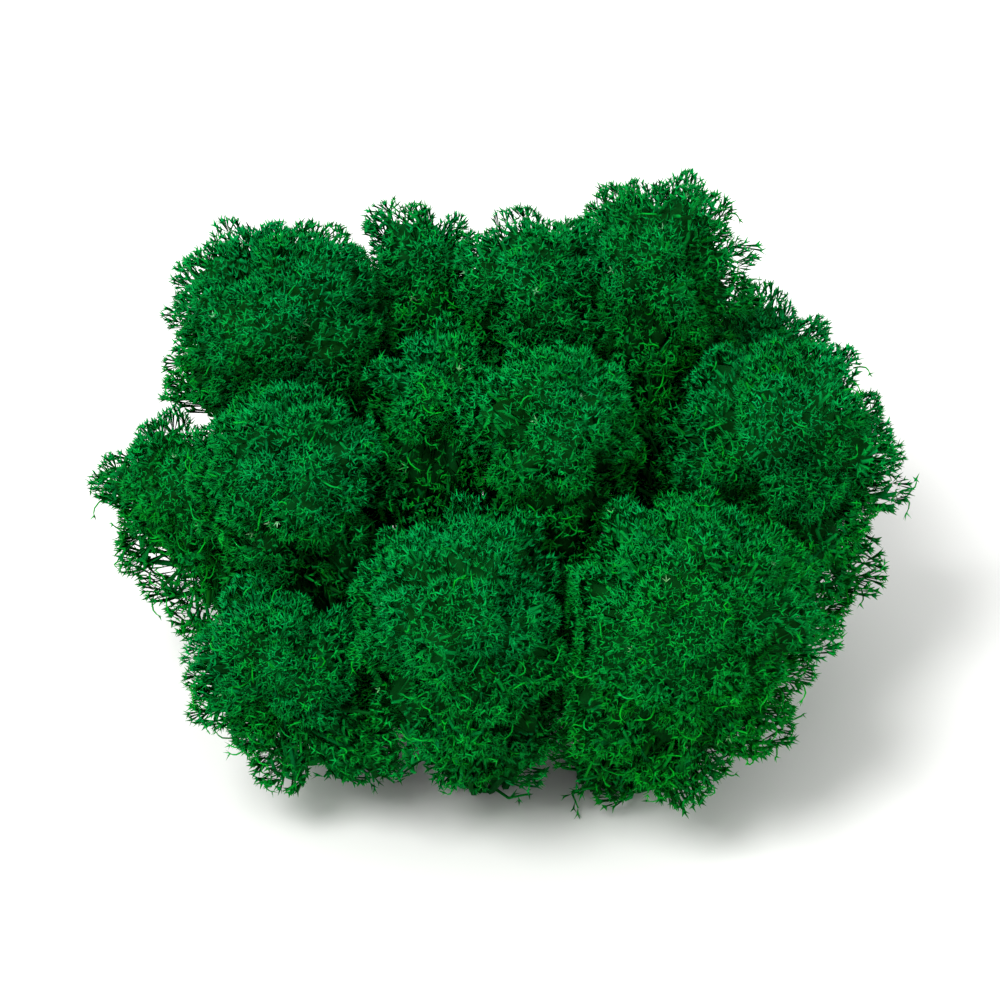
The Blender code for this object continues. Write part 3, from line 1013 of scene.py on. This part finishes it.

# %% [markdown]
# The crown grows from the inside out again: boughs from the middle line of the tuft, forks on
# the boughs and whorls on the forks. The tips are youngest. Those down the sides and in the
# creases get a little less growth, which darkens them as painted shade. One whorl in five
# hundred gets a pale tip, a painted glint, as in the photograph.

# %% Grow the crown
BOUGH_WIDTHS = np.array((0.55, 0.50, 0.42)) * MM
BOUGH_GROWTH = (0.25, 0.45)
FORK_WIDTHS = np.array((0.36, 0.32, 0.26)) * MM
FORK_GROWTH = (0.48, 0.76)
WHORL_FAN = 0.45
WHORL_LEAN = 0.30
SIDE_FROM = 0.75     # crown radii above the crown's middle
# Less growth darkens the tips down the sides and in the creases: painted shade.
SIDE_PAINTED_SHADE = 0.14
SIDE_TONE = 0.40
CREASE_PAINTED_SHADE = 0.10
TIP_SPREAD = 0.03
# Ordinary tips stay below the pale top of the ramps; a few are lifted into it as a painted glint.
BELOW_GLINT = 0.95
GLINT_SHARE = 0.002
PAINTED_GLINT_GROWTH = 1.2
DIM_SKY = 0.05
DIM_THINNED = 0.5


def crown_growth(form, side, rng):
    """Growth of the tips of every whorl; side tells how far down the sides each stands."""
    _, crease = form.bulges(form.plain(form.whorls))
    # Tips down the sides and in the creases are darkened as painted shade.
    tips = WHORL_GROWTH[1] - SIDE_PAINTED_SHADE * side - CREASE_PAINTED_SHADE * crease
    tips = np.minimum(tips + rng.normal(0.0, TIP_SPREAD, len(tips)), BELOW_GLINT)
    # A few whorls get pale tips: a painted glint.
    tips[rng.random(len(tips)) < GLINT_SHARE] = PAINTED_GLINT_GROWTH
    return tips


def add_crown(growth, form, base, rng):
    """The boughs, forks and whorls that see the sky."""
    boughs, forks, whorls = branch_points(form)
    sky = sky_seen(whorls, form.outwards(form.whorls), others(form.node))
    lucky = rng.random(len(whorls)) > DIM_THINNED
    worth = (sky > 0.0) & ((sky > DIM_SKY) | lucky)
    used_forks = np.unique(form.whorl_fork[worth])
    used = np.unique(form.fork_bough[used_forks])
    wood = base + YELLOWER["wood"]
    roots = bough_roots(form, boughs)[used]
    add_twigs(growth, roots, boughs[used], BOUGH_WIDTHS, BOUGH_GROWTH, wood, rng)
    roots = boughs[form.fork_bough[used_forks]]
    add_twigs(growth, roots, forks[used_forks], FORK_WIDTHS, FORK_GROWTH, wood, rng)
    roots = forks[form.whorl_fork]
    ways = form.growing_way(form.whorls)
    axes = unit(ways + WHORL_FAN * unit(whorls - roots) + rng.normal(0.0, WHORL_LEAN, ways.shape))
    side = np.clip(SIDE_FROM - form.plain(form.whorls)[:, 2] / form.radius, 0.0, 1.0)
    tone = tone_at(whorls, base, rng) + SIDE_TONE * side
    tips = crown_growth(form, side, rng)
    add_whorls(growth, roots[worth], whorls[worth], axes[worth], tone[worth], tips[worth], rng)


trial_growth = Growth()
add_crown(trial_growth, trial, 0.3, np.random.default_rng(1))
print("triangles in the widest crown:", sum(len(part) for part in trial_growth.triangles))

# %% [markdown]
# The side strands end in whorls too, so that the loose sides have the same fine tips as the
# crown. Each carries three: at its knee, further on, and at its end.

# %% Grow the side strands
STRAND_WIDTHS = np.array((0.26, 0.24, 0.17)) * MM
STRAND_GROWTH = (0.35, 0.70)
STRAND_TIPS = 0.85
STRAND_LEAN = 0.6
STRAND_STALK = (0.8 * MM, 1.6 * MM)


def add_strands(growth, form, paths, base, rng):
    """Loose strands on the stems that see the sky, each with its whorls."""
    roots, knees, ends, out = side_strands(form, paths, rng)
    seen = sky_seen(ends, out, PLACES) > 0.0
    roots, knees, ends = roots[seen], knees[seen], ends[seen]
    copies, triangles = lay_along(TWIG, np.stack((roots, knees, ends), 1), STRAND_WIDTHS, rng)
    yellow = base + YELLOWER["strand"]
    growth.add(copies, triangles, growth_along(TWIG, *STRAND_GROWTH), tone_at(ends, yellow, rng))
    way = unit(ends - knees)
    for start in (knees, (knees + ends) / 2.0, ends):
        axes = unit(way + rng.normal(0.0, STRAND_LEAN, way.shape))
        tips = start + axes * rng.uniform(*STRAND_STALK, len(way))[:, None]
        tone = tone_at(tips, yellow, rng)
        add_whorls(growth, start, tips, axes, tone, np.full(len(way), STRAND_TIPS), rng)


trial_growth = Growth()
add_strands(trial_growth, trial, trial_stems, 0.3, np.random.default_rng(1))
print("triangles in the widest tuft's strands:", sum(len(part) for part in trial_growth.triangles))

# %% [markdown]
# A curl has one whorl, at its end. The old inner twigs stay bare, because their tips died
# long ago, and they are only lifted off the ground where they would come below the foot.

# %% Grow the curls and the inner twigs
CURL_WIDTHS = np.array((0.15, 0.14, 0.13, 0.11, 0.08)) * MM
CURL_GROWTH = (0.72, 0.92)
CURL_OUT = 0.6
CURL_LEAN = 0.3
INNER_WIDTHS = np.array((0.42, 0.38, 0.28)) * MM
# Low growth makes the inner twigs very dark: partly old wood, partly painted shade.
INNER_GROWTH = (0.05, 0.30)


def add_curls(growth, form, base, rng):
    """Curly twigs on the sides, each with one whorl at its end."""
    paths, out = curl_paths(form, rng)
    seen = sky_seen(paths[:, -1], out, others(form.node)) > 0.0
    paths, out = paths[seen], out[seen]
    tone = tone_at(paths[:, 2], base + YELLOWER["curl"], rng)
    copies, triangles = lay_along(CURL, paths, CURL_WIDTHS, rng)
    growth.add(copies, triangles, growth_along(CURL, *CURL_GROWTH), tone)
    ways = unit(paths[:, -1] - paths[:, -2])
    axes = unit(ways + CURL_OUT * out + rng.normal(0.0, CURL_LEAN, out.shape))
    add_whorls(growth, paths[:, -2], paths[:, -1], axes, tone, np.full(len(paths), BELOW_GLINT), rng)


def add_inner_twigs(growth, form, base, rng):
    """Old twigs deep inside the tuft and in the gaps beside it."""
    starts, ends = inner_twigs(form, rng)
    starts[:, 2] = np.maximum(starts[:, 2], form.foot[2])
    ends[:, 2] = np.maximum(ends[:, 2], form.foot[2])
    add_twigs(growth, starts, ends, INNER_WIDTHS, INNER_GROWTH, base + YELLOWER["stem"], rng)


trial_growth = Growth()
add_curls(trial_growth, trial, 0.3, np.random.default_rng(1))
add_inner_twigs(trial_growth, trial, 0.3, np.random.default_rng(1))
print("triangles in its curls and inner twigs:", sum(len(part) for part in trial_growth.triangles))

# %% [markdown]
# Every tuft grows from its own seed, so none looks like another, and the result is the same
# in every run. Each one is a single mesh that takes the place of its CAD node.

# %% Grow every tuft
TUFT_TONES = (0.15, 0.45)
STEM_GROWTH = (0.0, 0.45)
FIRST_SEED = 1001


def grow_tuft(node, seed):
    """One tuft with all its branching, in the place of its CAD node."""
    rng = np.random.default_rng(seed)
    form = Form(node, rng)
    growth = Growth()
    base = rng.uniform(*TUFT_TONES)
    add_heart(growth, form, rng)
    paths = stem_paths(form, rng)
    copies, triangles = lay_along(STEM, paths, STEM_WIDTHS, rng)
    tone = tone_at(paths[:, STEM_RINGS // 2], base + YELLOWER["stem"], rng)
    growth.add(copies, triangles, growth_along(STEM, *STEM_GROWTH), tone)
    add_strands(growth, form, paths, base, rng)
    add_crown(growth, form, base, rng)
    add_curls(growth, form, base, rng)
    add_inner_twigs(growth, form, base, rng)
    return growth.make(node.replace("head", "tuft"), form.neighbours, form.foot[2])


tufts = []
for seed, node in enumerate(PLACES, start=FIRST_SEED):
    tuft = grow_tuft(node, seed)
    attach(tuft, "root")
    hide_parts(node)
    tufts.append(tuft)
triangle_counts = [len(tuft.data.polygons) for tuft in tufts]
print("triangles:", sum(triangle_counts), "largest tuft:", max(triangle_counts))

# %% [markdown]
# Colours are written as a painter reads them, as sRGB hex values, but Blender counts light
# and wants linear numbers, so one function turns them. Another adds a node with its settings
# and its links in one line, and a third fills a colour ramp.

# %% Write down the moves of the node editor
def linear(hex_colour):
    """An sRGB hex colour as linear red, green, blue and alpha."""
    parts = [int(hex_colour[i:i + 2], 16) / 255.0 for i in (1, 3, 5)]
    return [c / 12.92 if c <= 0.04045 else ((c + 0.055) / 1.055) ** 2.4 for c in parts] + [1.0]


def add_node(tree, kind, settings=(), **links):
    """Add a node, set its properties, and link or set its inputs."""
    node = tree.nodes.new(kind)
    for name, value in dict(settings).items():
        setattr(node, name, value)
    for name, value in links.items():
        socket = node.inputs[name.replace("_", " ")]
        if isinstance(value, bpy.types.NodeSocket):
            tree.links.new(value, socket)
        else:
            socket.default_value = value
    return node


def set_ramp(ramp, stops):
    """Give a colour ramp its stops, as (place, hex colour)."""
    while len(ramp.elements) < len(stops):
        ramp.elements.new(0.5)
    for element, (place, colour) in zip(ramp.elements, stops):
        element.position = place
        element.color = linear(colour)


print("a green in linear numbers:", np.round(linear("#009648"), 3))

# %% [markdown]
# The lichen's skin is matt and felted, with a meal of fine grains that is thickest on old
# wood. Dye takes more strongly on the thin young tips, which come out a clear bluish green.
# The older twigs are dull, and keep some of their own straw colour, so they look yellower.
# Two colour ramps run along the growth, one for the bluish twigs and one for the yellowish,
# and the tone mixes them. Both grow very dark towards the foot: partly the duller old wood,
# partly painted shade for the depths of the clump. The last stop of both is a pale painted
# glint, which only a few tips reach.

# %% Dye the lichen
# The dark low stops are partly old wood and partly painted shade; the pale top stop is a painted
# glint.
BLUISH = ((0.0, "#04300E"), (0.30, "#024A20"), (0.60, "#00763A"),
          (0.80, "#009648"), (0.95, "#00B860"), (1.0, "#8CCBA6"))
YELLOWISH = ((0.0, "#0A3A06"), (0.30, "#06540E"), (0.60, "#027E18"),
             (0.80, "#029A1C"), (0.95, "#04B626"), (1.0, "#A0CF90"))
MEAL = {"From_Min": 0.0, "From_Max": 1.0, "To_Min": 0.90, "To_Max": 0.62}
FELT_GLOSS = 0.03
FELT_SHEEN = 0.25
FELT_ROUGHNESS = 0.4
FELT_TINT = "#02983E"


def preserved_lichen():
    """Dyed, glycerine-preserved lichen: matt, with a faint soft sheen."""
    # The eye sees dark depths, partly painted shade, clear green tips, and patches of bluer and
    # yellower twigs.
    material = bpy.data.materials.new("preserved_lichen")
    material.use_nodes = True
    tree = material.node_tree
    surface = tree.nodes["Principled BSDF"]
    place = add_node(tree, "ShaderNodeUVMap", {"uv_map": COLOUR_MAP})
    parts = add_node(tree, "ShaderNodeSeparateXYZ", Vector=place.outputs["UV"])
    bluish = add_node(tree, "ShaderNodeValToRGB", Fac=parts.outputs["X"])
    set_ramp(bluish.color_ramp, BLUISH)
    yellowish = add_node(tree, "ShaderNodeValToRGB", Fac=parts.outputs["X"])
    set_ramp(yellowish.color_ramp, YELLOWISH)
    dye = add_node(tree, "ShaderNodeMix", {"data_type": "RGBA"})
    tree.links.new(parts.outputs["Y"], dye.inputs[0])
    tree.links.new(bluish.outputs["Color"], dye.inputs[6])
    tree.links.new(yellowish.outputs["Color"], dye.inputs[7])
    tree.links.new(dye.outputs[2], surface.inputs["Base Color"])
    # Meal scatters light on old wood, and the smoother tips catch a little more of it.
    mealy = add_node(tree, "ShaderNodeMapRange", Value=parts.outputs["X"], **MEAL)
    tree.links.new(mealy.outputs["Result"], surface.inputs["Roughness"])
    # The felt drinks nearly all the gloss, and gives each round twig a soft bright rim.
    surface.inputs["Specular IOR Level"].default_value = FELT_GLOSS
    surface.inputs["Sheen Weight"].default_value = FELT_SHEEN
    surface.inputs["Sheen Roughness"].default_value = FELT_ROUGHNESS
    surface.inputs["Sheen Tint"].default_value = linear(FELT_TINT)
    return material


lichen = preserved_lichen()
for tuft in tufts:
    tuft.data.materials.append(lichen)
print("material:", lichen.name)

# %% [markdown]
# The clump stands on a plain pale floor, large enough to fill the view from any side.

# %% Set the floor
FLOOR_SIZE = 12.0
FLOOR_COLOUR = "#F2F2F0"
FLOOR_ROUGHNESS = 0.9


def pale_floor():
    """A plain floor in matt white paint, which takes soft shadows and shows no shine."""
    bpy.ops.object.select_all(action="DESELECT")
    bpy.ops.mesh.primitive_plane_add(size=FLOOR_SIZE)
    floor = bpy.context.object
    floor.name = "floor"
    material = bpy.data.materials.new("matt_white_paint")
    material.use_nodes = True
    surface = material.node_tree.nodes["Principled BSDF"]
    surface.inputs["Base Color"].default_value = linear(FLOOR_COLOUR)
    surface.inputs["Roughness"].default_value = FLOOR_ROUGHNESS
    floor.data.materials.append(material)
    return floor


floor = pale_floor()
print("floor, m across:", round(floor.dimensions.x, 1))

# %% [markdown]
# The photograph was taken in even studio light that comes from the upper left, in front. A
# soft sun lamp and a white world give the same. A sun has no place, so it never stands in
# the way of another view.

# %% Set the light
SUN_WAY = (0.45, 0.55, -1.0)
SUN_STRENGTH = 2.6
SUN_SOFTNESS = 25.0
SKY_STRENGTH = 0.95


def soft_sun(name, direction, strength, softness):
    """A sun lamp that shines along a direction, with a softness in degrees."""
    lamp = bpy.data.lights.new(name, "SUN")
    lamp.energy = strength
    lamp.angle = math.radians(softness)
    sun = bpy.data.objects.new(name, lamp)
    sun.rotation_mode = "QUATERNION"
    sun.rotation_quaternion = Vector(direction).to_track_quat("-Z", "Y")
    bpy.context.scene.collection.objects.link(sun)
    return sun


soft_sun("key", SUN_WAY, SUN_STRENGTH, SUN_SOFTNESS)
world = bpy.data.worlds.new("studio")
bpy.context.scene.world = world
world.use_nodes = True
background = world.node_tree.nodes["Background"]
background.inputs["Color"].default_value = (1.0, 1.0, 1.0, 1.0)
background.inputs["Strength"].default_value = SKY_STRENGTH
bpy.context.scene.view_settings.view_transform = "Standard"
print("sun and sky:", SUN_STRENGTH, SKY_STRENGTH)

# %% [markdown]
# The camera looks down at 37 degrees, as the photograph does, from the same 2.1 metres.
# From so far off the clump shows hardly any perspective, and a long lens brings it close.

# %% Aim the camera
CAMERA_ELEVATION = 37.0
CAMERA_DISTANCE = 2.1
VIEW_WIDTH = 136.0 * MM
SENSOR_WIDTH = 36.0
AIM = Vector((0.0, 0.0, 0.033))

camera_data = bpy.data.cameras.new("camera")
camera = bpy.data.objects.new("camera", camera_data)
bpy.context.scene.collection.objects.link(camera)
tilt = math.radians(CAMERA_ELEVATION)
back = Vector((0.0, -math.cos(tilt), math.sin(tilt)))
camera.location = AIM + back * CAMERA_DISTANCE
camera.rotation_mode = "QUATERNION"
camera.rotation_quaternion = (-back).to_track_quat("-Z", "Y")
camera_data.sensor_width = SENSOR_WIDTH
camera_data.lens = SENSOR_WIDTH * CAMERA_DISTANCE / VIEW_WIDTH
camera_data.clip_end = 100.0
bpy.context.scene.camera = camera
print("lens, mm:", round(camera_data.lens, 1))
